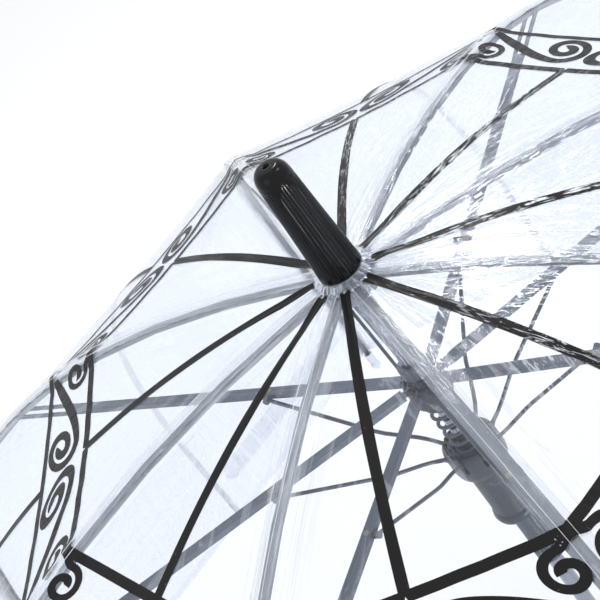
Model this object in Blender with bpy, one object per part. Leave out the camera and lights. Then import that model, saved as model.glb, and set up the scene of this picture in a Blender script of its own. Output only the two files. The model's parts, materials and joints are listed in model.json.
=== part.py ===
"""Clear bubble umbrella, open, built as an assembly.

Frame: metres, +Z up along the shaft towards the ferrule. The origin is on the shaft axis at the
middle of the grip. Rib 1 points along +X and the others follow every 45 degrees, counter-clockwise
from above. Each moving group hangs from an empty that sits on its joint's axis.
"""

import math

import bmesh
import bpy
from mathutils import Matrix, Vector

# ---- driving dimensions, metres and degrees; heights are measured from the canopy's apex ----
APEX = 0.668            # height of the apex above the grip
RIBS = 8
STEP = 360.0 / RIBS
CROWN_RADIUS = 0.540    # radius of the dome's crown in the rib plane
CROWN_REACH = 0.290     # where the crown hands over to the shoulder
SHOULDER_RADIUS = 0.290
SHOULDER_SLOPE = 80.0   # slope at the end of the shoulder
SKIRT_RADIUS = 0.900
SKIRT_SLOPE = 86.0      # slope at the hem
FILM = 0.0002           # film thickness
FILM_START = 0.0115     # the film panels start this far from the axis
FILM_GAP = 0.0002       # half the gap between neighbouring panels
PANEL_SAG = 0.0022      # how far a panel's middle lies inside its chord

SHAFT_R = 0.0040
SHAFT_BORE = 0.0034
SHAFT_TOP = 0.040
SHAFT_END = -0.700
RUN_GAP = 0.0003        # running gap round the shaft

RIB_WIDTH = 0.0038
RIB_HEIGHT = 0.0034
RIB_WALL = 0.00055
RIB_DROP = 0.0009       # the rib's crown lies this far under the film's middle surface
RIB_PAST_HEM = 0.008
RIB_PIVOT = (0.0100, -0.0050)
HUB_PIVOT = (0.0080, -0.0718)
RUNNER_PIVOT = (0.0112, -0.1190)
RIB_JOINT = (0.2460, -0.0625)   # where a stretcher meets its rib
WIRE_SHARE = 0.0755             # the wire's rivet, measured along the stretcher
CLOSE_ANGLE = 46.2              # how far a rib turns from open to shut

RING_WIRE = 0.0006      # radius of the three ring wires
EYE_HOLE = 0.0010
EYE_R = 0.0020
TONGUE = 0.0014
STRETCHER_WIDTH = 0.0050
STRETCHER_HEIGHT = 0.0030
STRETCHER_WALL = 0.0005
FORK_LENGTH = 0.036
FORK_INSIDE = 0.0023    # half the gap between the fork's prongs
WIRE_R = 0.0010
WIRE_OFFSET = 0.0040    # the wire runs beside its stretcher
SLOT = 0.0011           # half width of the slots for tongues

SPRING_R = 0.0067
SPRING_WIRE = 0.0009
SPRING_TURNS = 13.5
SPRING_SEAT = -0.1620

SLEEVE_RING = (-0.2090, -0.2000)    # bottom and top of the sleeve's lower ring, which the button holds

FERRULE_BASE = 0.0100
FERRULE_TIP = 0.0079
FERRULE_FOOT = 0.0033
FERRULE_TOP = 0.0630
FERRULE_FLUTES = 24
NOSE_RING = 0.0038       # radius of the small flat on the nose
NOSE_HEIGHT = 0.0062

HANDLE_TOP = -0.6203
HANDLE_BEND = -0.7180
HANDLE_HOOK = 0.0340    # radius of the crook's centre line


# ---- small tools ----
def material(name, colour, roughness, metallic=0.0, alpha=1.0):
    m = bpy.data.materials.new(name)
    m.use_nodes = True
    b = m.node_tree.nodes["Principled BSDF"]
    b.inputs["Base Color"].default_value = (*colour, 1.0)
    b.inputs["Roughness"].default_value = roughness
    b.inputs["Metallic"].default_value = metallic
    b.inputs["Alpha"].default_value = alpha
    return m


def finish(bm, name):
    """The bmesh as an object with its faces outwards."""
    bmesh.ops.recalc_face_normals(bm, faces=bm.faces)
    mesh = bpy.data.meshes.new(name)
    bm.to_mesh(mesh)
    bm.free()
    obj = bpy.data.objects.new(name, mesh)
    bpy.context.scene.collection.objects.link(obj)
    return obj


def lathe(name, profile, sides=32):
    """A closed (r, z) outline turned round Z; an outline that touches the axis is capped by a point."""
    bm = bmesh.new()
    rings = []
    for r, z in profile:
        if r < 1e-7:
            rings.append([bm.verts.new((0, 0, z))])
        else:
            rings.append([
                bm.verts.new((r * math.cos(a), r * math.sin(a), z))
                for a in (2 * math.pi * i / sides for i in range(sides))
            ])
    for a, b in zip(rings, rings[1:] + rings[:1]):
        if len(a) == 1 and len(b) == 1:
            continue
        for i in range(sides):
            j = (i + 1) % sides
            if len(a) == 1:
                bm.faces.new((a[0], b[i], b[j]))
            elif len(b) == 1:
                bm.faces.new((a[i], a[j], b[0]))
            else:
                bm.faces.new((a[i], a[j], b[j], b[i]))
    return finish(bm, name)


def loft(name, sections):
    """Closed loops of the same length, skinned one to the next, with both ends capped."""
    bm = bmesh.new()
    loops = [[bm.verts.new(p) for p in s] for s in sections]
    n = len(loops[0])
    for a, b in zip(loops, loops[1:]):
        for i in range(n):
            j = (i + 1) % n
            bm.faces.new((a[i], a[j], b[j], b[i]))
    bm.faces.new(loops[0])
    bm.faces.new(loops[-1])
    return finish(bm, name)


def plate(name, outline, half, hole=None, axis="Y"):
    """An outline in the (x, z) plane given a thickness along Y, with an optional round hole (x, z, r)."""
    bm = bmesh.new()
    place = (lambda p: (p[0], -half, p[1])) if axis == "Y" else (lambda p: (-half, p[0], p[1]))
    loops = [[bm.verts.new(place(p)) for p in outline]]
    if hole:
        hx, hz, hr = hole
        loops.append([
            bm.verts.new(place((hx + hr * math.cos(a), hz + hr * math.sin(a))))
            for a in (2 * math.pi * i / 8 for i in range(8))
        ])
    edges = [bm.edges.new((v[i], v[(i + 1) % len(v)])) for v in loops for i in range(len(v))]
    bmesh.ops.triangle_fill(bm, use_beauty=True, use_dissolve=False, edges=edges)
    out = bmesh.ops.extrude_face_region(bm, geom=list(bm.faces))
    shift = (0, 2 * half, 0) if axis == "Y" else (2 * half, 0, 0)
    bmesh.ops.translate(bm, vec=shift, verts=[v for v in out["geom"] if isinstance(v, bmesh.types.BMVert)])
    return finish(bm, name)


def box(name, low, high):
    bm = bmesh.new()
    bmesh.ops.create_cube(bm, size=1.0)
    for v in bm.verts:
        v.co = Vector([(a + b) / 2 + c * (b - a) for a, b, c in zip(low, high, v.co)])
    return finish(bm, name)


def rod(name, start, end, radius, sides=12):
    """A plain cylinder between two points."""
    a, b = Vector(start), Vector(end)
    q = (b - a).to_track_quat("Z", "Y")
    loops = []
    for p in (a, b):
        loops.append([
            p + q @ Vector((radius * math.cos(t), radius * math.sin(t), 0))
            for t in (2 * math.pi * i / sides for i in range(sides))
        ])
    return loft(name, loops)


def tube_along(name, points, radii, sides=8, up=(0, 1, 0)):
    """A round section carried along points with a fixed up direction."""
    loops, up = [], Vector(up)
    for i, p in enumerate(points):
        p = Vector(p)
        t = Vector(points[min(i + 1, len(points) - 1)]) - Vector(points[max(i - 1, 0)])
        t.normalize()
        side = up.cross(t).normalized()
        over = t.cross(side)
        r = radii[i] if isinstance(radii, (list, tuple)) else radii
        loops.append([
            p + side * r * math.cos(a) + over * r * math.sin(a)
            for a in (2 * math.pi * k / sides for k in range(sides))
        ])
    return loft(name, loops)


def helix(name, radius, wire, bottom, top, turns, per_turn=8, sides=5, axis="Z", centre=(0, 0)):
    """A coil spring with closed ends, along Z or along Y."""
    n = int(turns * per_turn)
    points = []
    for i in range(n + 1):
        t = i / n
        a = 2 * math.pi * turns * t
        ends = 1.0 / turns
        if t < ends:
            rise = 0.35 * t / ends * ends
        elif t > 1 - ends:
            rise = 1 - 0.35 * (1 - t) / ends * ends
        else:
            rise = 0.35 * ends + (t - ends) / (1 - 2 * ends) * (1 - 0.7 * ends)
        h = bottom + (top - bottom) * rise
        if axis == "Z":
            points.append(Vector((radius * math.cos(a), radius * math.sin(a), h)))
        else:
            points.append(Vector((radius * math.cos(a), h, centre[1] + radius * math.sin(a))))
    loops = []
    middle = Vector((0, 0, 0)) if axis == "Z" else Vector((0, 0, centre[1]))
    along = Vector((0, 0, 1)) if axis == "Z" else Vector((0, 1, 0))
    for i, p in enumerate(points):
        t = (points[min(i + 1, n)] - points[max(i - 1, 0)]).normalized()
        out = p - middle
        out = (out - along * out.dot(along)).normalized()
        over = t.cross(out).normalized()
        loops.append([
            p + out * wire * math.cos(b) + over * wire * math.sin(b)
            for b in (2 * math.pi * k / sides for k in range(sides))
        ])
    return loft(name, loops)


def ring(name, major, minor, z, sides=32, section=6):
    """A ring of round wire about the shaft axis."""
    bm = bmesh.new()
    rows = []
    for i in range(sides):
        a = 2 * math.pi * i / sides
        rows.append([
            bm.verts.new((
                (major + minor * math.cos(b)) * math.cos(a),
                (major + minor * math.cos(b)) * math.sin(a),
                z + minor * math.sin(b),
            ))
            for b in (2 * math.pi * k / section for k in range(section))
        ])
    for i in range(sides):
        for k in range(section):
            bm.faces.new((
                rows[i][k], rows[(i + 1) % sides][k],
                rows[(i + 1) % sides][(k + 1) % section], rows[i][(k + 1) % section],
            ))
    return finish(bm, name)


def combine(obj, other, operation):
    """obj with other cut from it or joined to it; other is used up."""
    mod = obj.modifiers.new("join", "BOOLEAN")
    mod.operation, mod.object, mod.solver = operation, other, "EXACT"
    bpy.context.view_layer.update()
    seen = obj.evaluated_get(bpy.context.evaluated_depsgraph_get())
    mesh = bpy.data.meshes.new_from_object(seen)
    obj.modifiers.clear()
    obj.data = mesh
    bpy.data.objects.remove(other, do_unlink=True)
    return obj


def radial_slots(name, inner, outer, low, high, half):
    """Eight boxes standing round the axis, one for each rib direction, as a single cutter."""
    bm = bmesh.new()
    for k in range(RIBS):
        turn = Matrix.Rotation(math.radians(STEP * k), 4, "Z")
        made = bmesh.ops.create_cube(bm, size=1.0)["verts"]
        for v in made:
            p = Vector((
                (inner + outer) / 2 + v.co.x * (outer - inner), v.co.y * 2 * half,
                (low + high) / 2 + v.co.z * (high - low),
            ))
            v.co = turn @ p
    return finish(bm, name)


def place(obj, name, holder, pivot, mat, smooth=True):
    """Names the piece, moves its mesh so that pivot is its origin, and hangs it on its holder."""
    obj.name = name
    obj.data.name = name
    obj.data.transform(Matrix.Translation(-Vector(pivot)))
    obj.data.materials.clear()
    obj.data.materials.append(mat)
    for p in obj.data.polygons:
        p.use_smooth = smooth
    obj.parent = holder
    return obj


def empty(name, location, turn=0.0):
    e = bpy.data.objects.new(name, None)
    e.location = location
    e.rotation_euler = (0, 0, math.radians(turn))
    bpy.context.scene.collection.objects.link(e)
    return e


def copy_of(obj, name):
    """Another object with the same shape, before it is placed."""
    new = bpy.data.objects.new(name, obj.data.copy())
    bpy.context.scene.collection.objects.link(new)
    for mod in obj.modifiers:
        m = new.modifiers.new(mod.name, mod.type)
        m.thickness, m.offset, m.use_even_offset = mod.thickness, mod.offset, mod.use_even_offset
    return new


# ---- the dome's curve in the rib plane: crown, shoulder, skirt ----
CROWN_SLOPE = math.asin(CROWN_REACH / CROWN_RADIUS)
CROWN_ARC = CROWN_RADIUS * CROWN_SLOPE
SHOULDER_ARC = SHOULDER_RADIUS * (math.radians(SHOULDER_SLOPE) - CROWN_SLOPE)
SKIRT_ARC = SKIRT_RADIUS * math.radians(SKIRT_SLOPE - SHOULDER_SLOPE)
HEM = CROWN_ARC + SHOULDER_ARC + SKIRT_ARC
# ribs and film bend at the same stations, so the gap between them stays even
STATIONS = [0.022 + (CROWN_ARC - 0.022) * i / 6 for i in range(7)]
STATIONS += [CROWN_ARC + SHOULDER_ARC * i / 6 for i in range(1, 7)]
STATIONS += [CROWN_ARC + SHOULDER_ARC + SKIRT_ARC * i / 2 for i in range(1, 3)]


def dome(s):
    """(r, z, slope) at arc length s from the apex."""
    if s <= CROWN_ARC:
        a = s / CROWN_RADIUS
        return CROWN_RADIUS * math.sin(a), CROWN_RADIUS * (math.cos(a) - 1), a
    r, z, _ = dome(CROWN_ARC)
    if s <= CROWN_ARC + SHOULDER_ARC:
        a, b, radius = CROWN_SLOPE, CROWN_SLOPE + (s - CROWN_ARC) / SHOULDER_RADIUS, SHOULDER_RADIUS
    else:
        c = math.radians(SHOULDER_SLOPE)
        r += SHOULDER_RADIUS * (math.sin(c) - math.sin(CROWN_SLOPE))
        z += SHOULDER_RADIUS * (math.cos(c) - math.cos(CROWN_SLOPE))
        a, b, radius = c, c + (s - CROWN_ARC - SHOULDER_ARC) / SKIRT_RADIUS, SKIRT_RADIUS
    return r + radius * (math.sin(b) - math.sin(a)), z + radius * (math.cos(b) - math.cos(a)), b


def under(s, depth):
    """A point this far under the film in the rib plane, as (x, z)."""
    r, z, a = dome(s)
    return r - depth * math.sin(a), z - depth * math.cos(a)


def film_point(s, share, lift=0.0):
    """A point of the panel beside rib 1: share runs from 0 at the rib to 1 at the middle of the panel,
    negative on the other side. lift moves it out of the film."""
    r, z, a = dome(s)
    half = math.radians(STEP / 2)
    way = 1 if share >= 0 else -1
    along = abs(share) * r * math.sin(half)
    sag = PANEL_SAG * (1 - (1 - abs(share)) ** 2) * min(1.0, r / 0.15)
    n = Vector((math.sin(a) * math.cos(half), way * math.sin(a) * math.sin(half), math.cos(a)))
    flat = Vector((r - along * math.sin(half), way * along * math.cos(half), z))
    return flat + n * (lift - sag)


def travel():
    """How far the runner slides from open to shut: the fork and the wire both meet their partners again."""
    swing = math.radians(CLOSE_ANGLE)
    dx, dz = RIB_JOINT[0] - RIB_PIVOT[0], RIB_JOINT[1] - RIB_PIVOT[1]
    joint_x = RIB_PIVOT[0] + dx * math.cos(swing) + dz * math.sin(swing)
    joint_z = RIB_PIVOT[1] - dx * math.sin(swing) + dz * math.cos(swing)
    length = math.dist(RIB_JOINT, HUB_PIVOT)
    reach = joint_x - HUB_PIVOT[0]
    hub_z = joint_z - math.sqrt(length ** 2 - reach ** 2)
    share = WIRE_SHARE / length
    shut = (HUB_PIVOT[0] + reach * share, hub_z + (joint_z - hub_z) * share)
    rest = [a + (b - a) * share for a, b in zip(HUB_PIVOT, RIB_JOINT)]
    wire = math.dist(rest, RUNNER_PIVOT)
    return RUNNER_PIVOT[1] - shut[1] + math.sqrt(wire ** 2 - (shut[0] - RUNNER_PIVOT[0]) ** 2)


for o in list(bpy.data.objects):
    bpy.data.objects.remove(o, do_unlink=True)

film_look = material("clear_film", (0.90, 0.93, 0.97), 0.08, 0.0, 0.22)
BLACK = ("gloss_black", (0.012, 0.012, 0.014), 0.18)
GREY = ("rib_grey", (0.56, 0.58, 0.61), 0.35, 0.8)
STEEL = ("blue_steel", (0.38, 0.42, 0.48), 0.32, 0.9)
SLATE = ("runner_slate", (0.04, 0.05, 0.07), 0.3)
TIP = ("tip_pale", (0.78, 0.80, 0.83), 0.4)
CHROME = ("chrome", (0.78, 0.79, 0.80), 0.10, 1.0)
top = empty("axis_root", (0, 0, APEX))

# ---- root: shaft, ferrule, crown, notch ----
shaft = lathe("shaft", [
    (SHAFT_BORE, SHAFT_END), (SHAFT_R, SHAFT_END), (SHAFT_R, SHAFT_TOP), (SHAFT_BORE, SHAFT_TOP),
], 24)
place(shaft, "shaft_tube", top, (0, 0, 0), material(*CHROME))


def ferrule():
    """Fluted tapered cap with a rounded nose, a small dimple and a blind bore for the shaft."""
    bm = bmesh.new()
    sides = 2 * FERRULE_FLUTES
    levels = [(FERRULE_BASE - 0.0006, FERRULE_FOOT), (FERRULE_BASE, FERRULE_FOOT + 0.0006)]
    levels += [
        (FERRULE_BASE + (FERRULE_TIP - FERRULE_BASE) * t, FERRULE_FOOT + 0.0014 + 0.0513 * t)
        for t in (0.02, 0.5, 1.0)
    ]
    nose = FERRULE_TIP - NOSE_RING
    levels += [
        (NOSE_RING + nose * math.cos(t), FERRULE_TOP - NOSE_HEIGHT * (1 - math.sin(t)))
        for t in (math.radians(22), math.radians(45), math.radians(68), math.radians(90))
    ]
    levels += [(0.0022, FERRULE_TOP), (0.0014, FERRULE_TOP - 0.0008)]
    rows = []
    for n, (r, z) in enumerate(levels):
        cut = 0.00022 if 2 <= n <= 4 else 0.0
        rows.append([
            bm.verts.new((
                (r - cut * (i % 2)) * math.cos(2 * math.pi * i / sides),
                (r - cut * (i % 2)) * math.sin(2 * math.pi * i / sides), z,
            ))
            for i in range(sides)
        ])
    for a, b in zip(rows, rows[1:]):
        for i in range(sides):
            j = (i + 1) % sides
            bm.faces.new((a[i], a[j], b[j], b[i]))
    bm.faces.new(rows[0])
    bm.faces.new(rows[-1])
    body = finish(bm, "ferrule")
    return combine(
        body, rod("bore", (0, 0, -0.01), (0, 0, SHAFT_TOP + 0.002), SHAFT_R + RUN_GAP, 24), "DIFFERENCE"
    )


place(ferrule(), "ferrule_cap", top, (0, 0, 0), material(*BLACK), False)
collar = lathe("collar", [
    (SHAFT_R + RUN_GAP, 0.0012), (0.0118, 0.0012), (0.0124, 0.0016), (0.0120, 0.0024),
    (0.0108, 0.0029), (SHAFT_R + RUN_GAP, 0.0029),
])
place(collar, "apex_collar", top, (0, 0, 0), material("collar_clear", (0.88, 0.91, 0.95), 0.12, 0, 0.4))
crown = lathe("crown", [
    (SHAFT_R + RUN_GAP, 0.0004), (0.0138, 0.0003), (0.0138, 0.0007), (SHAFT_R + RUN_GAP, 0.0008),
])
place(crown, "crown_disc", top, (0, 0, 0), material("crown_clear", (0.88, 0.91, 0.95), 0.12, 0, 0.35))

px, pz = RIB_PIVOT
notch = lathe("notch", [
    (SHAFT_R + RUN_GAP, -0.0016), (0.0125, -0.0016), (0.0129, -0.0022), (0.0129, -0.0084),
    (0.0123, -0.0090), (px + 0.00095, -0.0090), (px + 0.00095, pz + 0.00095),
    (px - 0.00095, pz + 0.00095), (px - 0.00095, -0.0090), (0.0070, -0.0090), (0.0064, -0.0115),
    (SHAFT_R + RUN_GAP, -0.0115),
], 40)
notch = combine(notch, radial_slots("slots", 0.0074, 0.0160, -0.0100, 0.0, SLOT), "DIFFERENCE")
place(notch, "top_notch", top, (0, 0, 0), material("notch_pale", (0.55, 0.58, 0.62), 0.4), False)
place(ring("wire", px, RING_WIRE, pz), "notch_wire", top, (0, 0, 0), material(*CHROME))
stop = lathe("stop", [
    (SHAFT_R + RUN_GAP, -0.0655), (0.0064, -0.0655), (0.0070, -0.0648), (0.0070, -0.0595),
    (0.0062, -0.0585), (SHAFT_R + RUN_GAP, -0.0585),
])
place(stop, "stop_collar", top, (0, 0, 0), material(*STEEL))

# ---- button housing and handle ----
latch = SLEEVE_RING[1] - travel() - 0.0124     # height of the lever's axis; its hook stands over the ring
housing = lathe("housing", [
    (SHAFT_R + RUN_GAP, -0.6200), (0.0118, -0.6200), (0.0122, -0.6190), (0.0128, -0.5750),
    (0.0142, latch - 0.0230), (0.0142, latch + 0.0070), (0.0124, latch + 0.0230),
    (0.0112, latch + 0.0250), (0.0094, latch + 0.0250), (0.0086, latch + 0.0235),
    (0.0086, latch - 0.0010), (SHAFT_R + RUN_GAP, latch - 0.0010),
], 32)
slot = box("slot", (-0.0032, -0.020, latch - 0.0250), (0.0032, -0.0055, latch + 0.0180))
housing = combine(housing, slot, "DIFFERENCE")
housing_look = material("housing_black", (0.014, 0.014, 0.016), 0.25)
place(housing, "button_housing", top, (0, 0, 0), housing_look, False)

LEVER_Y = -0.0112
lever = plate("lever", [
    (y, latch + h) for y, h in (
        (-0.0068, 0.0134), (-0.0066, 0.0146), (-0.0090, 0.0164), (-0.0118, 0.0158), (-0.0126, 0.0130),
        (-0.0126, -0.0070), (-0.0162, -0.0086), (-0.0174, -0.0110), (-0.0174, -0.0200),
        (-0.0164, -0.0224), (-0.0140, -0.0234), (-0.0120, -0.0230), (-0.0098, -0.0190),
        (-0.0096, -0.0070), (-0.0096, 0.0120), (-0.0088, 0.0134),
    )
], 0.0027, axis="X")
button_axis = empty("axis_button", (0, LEVER_Y, APEX + latch))
lever_look = material("button", (0.55, 0.56, 0.58), 0.3)
place(lever, "push_button", button_axis, (0, LEVER_Y, latch), lever_look, False)
small = helix("small", 0.0016, 0.00025, -0.0092, -0.0059, 3.0, 10, 5, "Y", (0, latch - 0.0150))
place(small, "button_spring", top, (0, 0, 0), material(*CHROME))


def crook():
    """The grip: a straight part, a half-round hook and a short rise to a flat, bevelled end."""
    loops = []
    path = [(0, z) for z in (HANDLE_TOP, HANDLE_TOP - 0.0015, -0.640, -0.668, -0.694, HANDLE_BEND)]
    width = [0.0114, 0.0120, 0.0124, 0.0117, 0.0124, 0.0112]
    ways = [0.0] * len(path)
    for i in range(1, 13):
        a = math.pi * i / 12
        path.append((HANDLE_HOOK * (1 - math.cos(a)), HANDLE_BEND - HANDLE_HOOK * math.sin(a)))
        width.append(0.0112 - 0.0010 * i / 12)
        ways.append(a)
    for rise, r in ((0.010, 0.0102), (0.0155, 0.0098), (0.0180, 0.0082), (0.0186, 0.0068)):
        path.append((2 * HANDLE_HOOK, HANDLE_BEND + rise))
        width.append(r)
        ways.append(math.pi)
    for (x, z), r, a in zip(path, width, ways):
        side = Vector((math.cos(a), 0, math.sin(a)))
        loops.append([
            Vector((x, 0, z)) + side * r * math.cos(b) + Vector((0, r * math.sin(b), 0))
            for b in (2 * math.pi * k / 20 for k in range(20))
        ])
    body = loft("crook", loops)
    cut = rod("bore", (0, 0, SHAFT_END - 0.002), (0, 0, HANDLE_TOP + 0.01), SHAFT_R + RUN_GAP, 24)
    return combine(body, cut, "DIFFERENCE")


place(crook(), "handle", top, (0, 0, 0), material("handle_black", (0.014, 0.014, 0.016), 0.3))

# ---- stretcher hub ----
hx, hz = HUB_PIVOT
hub_axis = empty("axis_hub", (0, 0, APEX + hz))
hub = lathe("hub", [
    (SHAFT_R + RUN_GAP, -0.0830), (0.0086, -0.0830), (0.0097, -0.0822), (0.0100, -0.0805),
    (0.0100, -0.0703), (0.0095, -0.0697), (hx + 0.00095, -0.0697), (hx + 0.00095, hz - 0.00095),
    (hx - 0.00095, hz - 0.00095), (hx - 0.00095, -0.0697), (0.0064, -0.0697), (0.0061, -0.0670),
    (SHAFT_R + RUN_GAP, -0.0670),
], 40)
hub = combine(hub, radial_slots("slots", 0.0057, 0.0130, -0.0745, -0.060, SLOT), "DIFFERENCE")
place(hub, "stretcher_hub", hub_axis, (0, 0, hz), material("hub_dark", (0.04, 0.05, 0.07), 0.35), False)
place(ring("wire", hx, RING_WIRE, hz), "hub_wire", hub_axis, (0, 0, hz), material(*CHROME))

# ---- runner, its sleeve and the main spring ----
wx, wz = RUNNER_PIVOT
runner_axis = empty("axis_runner", (0, 0, APEX + wz))
runner = lathe("runner", [
    (SHAFT_R + RUN_GAP, -0.1700), (0.0094, -0.1700), (0.0109, -0.1690), (0.0115, -0.1668),
    (0.0110, -0.1644), (0.0101, -0.1632), (0.0099, -0.1335), (0.0118, -0.1326), (0.0133, -0.1308),
    (0.0138, -0.1280), (0.0138, -0.1185), (0.0134, -0.1162), (0.0128, -0.1152), (wx + 0.00095, -0.1150),
    (wx + 0.00095, wz - 0.00095), (wx - 0.00095, wz - 0.00095), (wx - 0.00095, -0.1150),
    (0.0082, -0.1150), (0.0080, SPRING_SEAT), (SHAFT_R + RUN_GAP, SPRING_SEAT),
], 40)
runner = combine(runner, radial_slots("slots", 0.0089, 0.0180, -0.1240, -0.110, SLOT), "DIFFERENCE")
place(runner, "runner", runner_axis, (0, 0, wz), material(*SLATE), False)
place(ring("wire", wx, RING_WIRE, wz), "runner_wire", runner_axis, (0, 0, wz), material(*CHROME))
low, high = SLEEVE_RING
sleeve = lathe("sleeve", [
    (SHAFT_R + RUN_GAP, low), (0.0060, low), (0.0067, low + 0.0008), (0.0068, high - 0.0010),
    (0.0064, high), (0.0056, high + 0.0004), (0.0056, -0.1703), (SHAFT_R + RUN_GAP, -0.1703),
], 32)
place(sleeve, "runner_sleeve", runner_axis, (0, 0, wz), material(*SLATE))
spring = helix("spring", SPRING_R, SPRING_WIRE, SPRING_SEAT + 0.0012, -0.0842, SPRING_TURNS)
place(spring, "main_spring", runner_axis, (0, 0, wz), material(*CHROME))


# ---- ribs ----
def rib_section(s, depth):
    """The rib's channel across arc position s; depth is how far its inside is hollowed, 0 to 1."""
    r, z, a = dome(s)
    out = Vector((math.sin(a), 0, math.cos(a)))
    base = Vector((r, 0, z)) - out * RIB_DROP
    w, c, inner = RIB_WIDTH / 2, RIB_WIDTH / 2 - 0.0011, RIB_WIDTH / 2 - RIB_WALL
    roof = -RIB_HEIGHT + depth * (RIB_HEIGHT - 0.0009)
    flat = [
        (-w, -RIB_HEIGHT), (-w, -0.0008), (-c, 0), (c, 0), (w, -0.0008), (w, -RIB_HEIGHT),
        (inner, -RIB_HEIGHT), (inner, roof), (-inner, roof), (-inner, -RIB_HEIGHT),
    ]
    return [base + Vector((0, y, 0)) + out * h for y, h in flat]


def eye(x, z, ex, ez, tail):
    """Outline of a tongue whose round eye is at (x, z) and whose tail follows the given points."""
    start = math.atan2(ez[1] - z, ez[0] - x)
    stop = math.atan2(ex[1] - z, ex[0] - x) + 2 * math.pi
    arc = [
        (x + EYE_R * math.cos(a), z + EYE_R * math.sin(a))
        for a in (start + (stop - start) * i / 6 for i in range(7))
    ]
    return arc + tail


def make_rib():
    first = 0.0150
    stations = [first, 0.0175] + STATIONS + [HEM + RIB_PAST_HEM]
    body = loft("rib", [rib_section(s, 0.03 if s < 0.02 else 1.0) for s in stations])
    tongue = plate("tongue", eye(
        px, pz, (px + 0.0008, pz - 0.0030), (px + 0.0004, pz + 0.0030),
        [(0.0130, -0.0060), (0.0166, -0.0040), (0.0166, -0.0018), (0.0130, -0.0018)],
    ), TONGUE / 2, (px, pz, EYE_HOLE))
    return combine(body, tongue, "UNION")


def make_film():
    bm = bmesh.new()
    stations = [FILM_START] + STATIONS
    rows = []
    for s in stations:
        r = dome(s)[0]
        edge = 1 - FILM_GAP / (r * math.sin(math.radians(STEP / 2)))
        rows.append([bm.verts.new(film_point(s, t * edge)) for t in (-1, -0.5, 0, 0.5, 1)])
    for a, b in zip(rows, rows[1:]):
        for i in range(len(a) - 1):
            bm.faces.new((a[i], b[i], b[i + 1], a[i + 1]))
    obj = finish(bm, "film")
    mod = obj.modifiers.new("thickness", "SOLIDIFY")
    mod.thickness, mod.offset, mod.use_even_offset = FILM, 0.0, True
    return obj


def make_tip():
    """A moulded cap on the rib's end, with a socket for it, a waist and a ball."""
    s = HEM + RIB_PAST_HEM
    r, z, a = dome(s)
    along = Vector((math.cos(a), 0, -math.sin(a)))
    out = Vector((math.sin(a), 0, math.cos(a)))
    centre = Vector((r, 0, z)) - out * (RIB_DROP + RIB_HEIGHT / 2)
    shape = lathe("tip", [
        (0, -0.0072), (0.0034, -0.0072), (0.0034, 0.0010), (0.0024, 0.0026), (0.0036, 0.0050),
        (0.0040, 0.0072), (0.0028, 0.0100), (0, 0.0108),
    ], 10)
    turn = Matrix((
        (0, out.x, along.x, centre.x), (1, out.y, along.y, centre.y), (0, out.z, along.z, centre.z),
        (0, 0, 0, 1),
    ))
    shape = combine(shape, box("socket", (-0.0022, -0.0020, -0.009), (0.0022, 0.0020, 0.0004)), "DIFFERENCE")
    shape.data.transform(turn)
    return shape


# ---- stretchers and wires ----
jx, jz = RIB_JOINT
LENGTH = math.hypot(jx - hx, jz - hz)
TILT = math.atan2(jz - hz, jx - hx)


def make_stretcher():
    """A channel with its web on top. Its outer end is a fork that stands either side of the rib, with a
    rivet head on each prong; its inner end is a tongue with an eye. Modelled level, then tilted."""
    w, h, t = STRETCHER_WIDTH / 2, STRETCHER_HEIGHT / 2, STRETCHER_WALL
    web_end = LENGTH - FORK_LENGTH

    def channel(x, hollow, half=w):
        roof = -h + hollow * (2 * h - t)
        return [
            Vector((x, y, z)) for y, z in (
                (-half, -h), (-half, h), (half, h), (half, -h), (half - t, -h), (half - t, roof),
                (-half + t, roof), (-half + t, -h),
            )
        ]

    body = loft("channel", [
        channel(0.0032, 0.04), channel(0.0060, 0.04), channel(0.0075, 1.0),
        channel(web_end / 2, 1.0), channel(web_end, 1.0),
    ])
    tongue = plate("tongue", eye(
        0, 0, (0.0016, -0.0026), (0.0016, 0.0026), [(0.0045, -0.0011), (0.0045, 0.0011)],
    ), TONGUE / 2, (0, 0, EYE_HOLE))
    body = combine(body, tongue, "UNION")
    for side in (-1, 1):
        inner, outer = FORK_INSIDE, FORK_INSIDE + 0.0007
        prong = []
        for x, a, b, tall in (
            (web_end - 0.006, w - t + 0.0001, w - 0.0001, h - 0.0001),
            (web_end + 0.003, inner, outer, h - 0.0001), (LENGTH - 0.002, inner, outer, h - 0.0001),
            (LENGTH + 0.0004, inner, outer, 0.0012), (LENGTH + 0.0014, inner, outer, 0.0005),
        ):
            prong.append([
                Vector((x, side * a, -tall)), Vector((x, side * b, -tall)),
                Vector((x, side * b, tall)), Vector((x, side * a, tall)),
            ])
        body = combine(body, loft("prong", prong), "UNION")
        start, end = (LENGTH, side * (outer - 0.0003), 0), (LENGTH, side * (outer + 0.0009), 0)
        body = combine(body, rod("head", start, end, 0.0013, 8), "UNION")
    rivet = rod("rivet", (WIRE_SHARE, -w + 0.0002, 0), (WIRE_SHARE, -w - 0.0005, 0), 0.0011, 8)
    body = combine(body, rivet, "UNION")
    body.data.transform(Matrix.Translation((hx, 0, hz)) @ Matrix.Rotation(-TILT, 4, "Y"))
    return body


vx = hx + WIRE_SHARE * math.cos(TILT)
vz = hz + WIRE_SHARE * math.sin(TILT)
WIRE_LENGTH = math.hypot(vx - wx, vz - wz)
WIRE_TILT = math.atan2(vz - wz, vx - wx)


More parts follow.
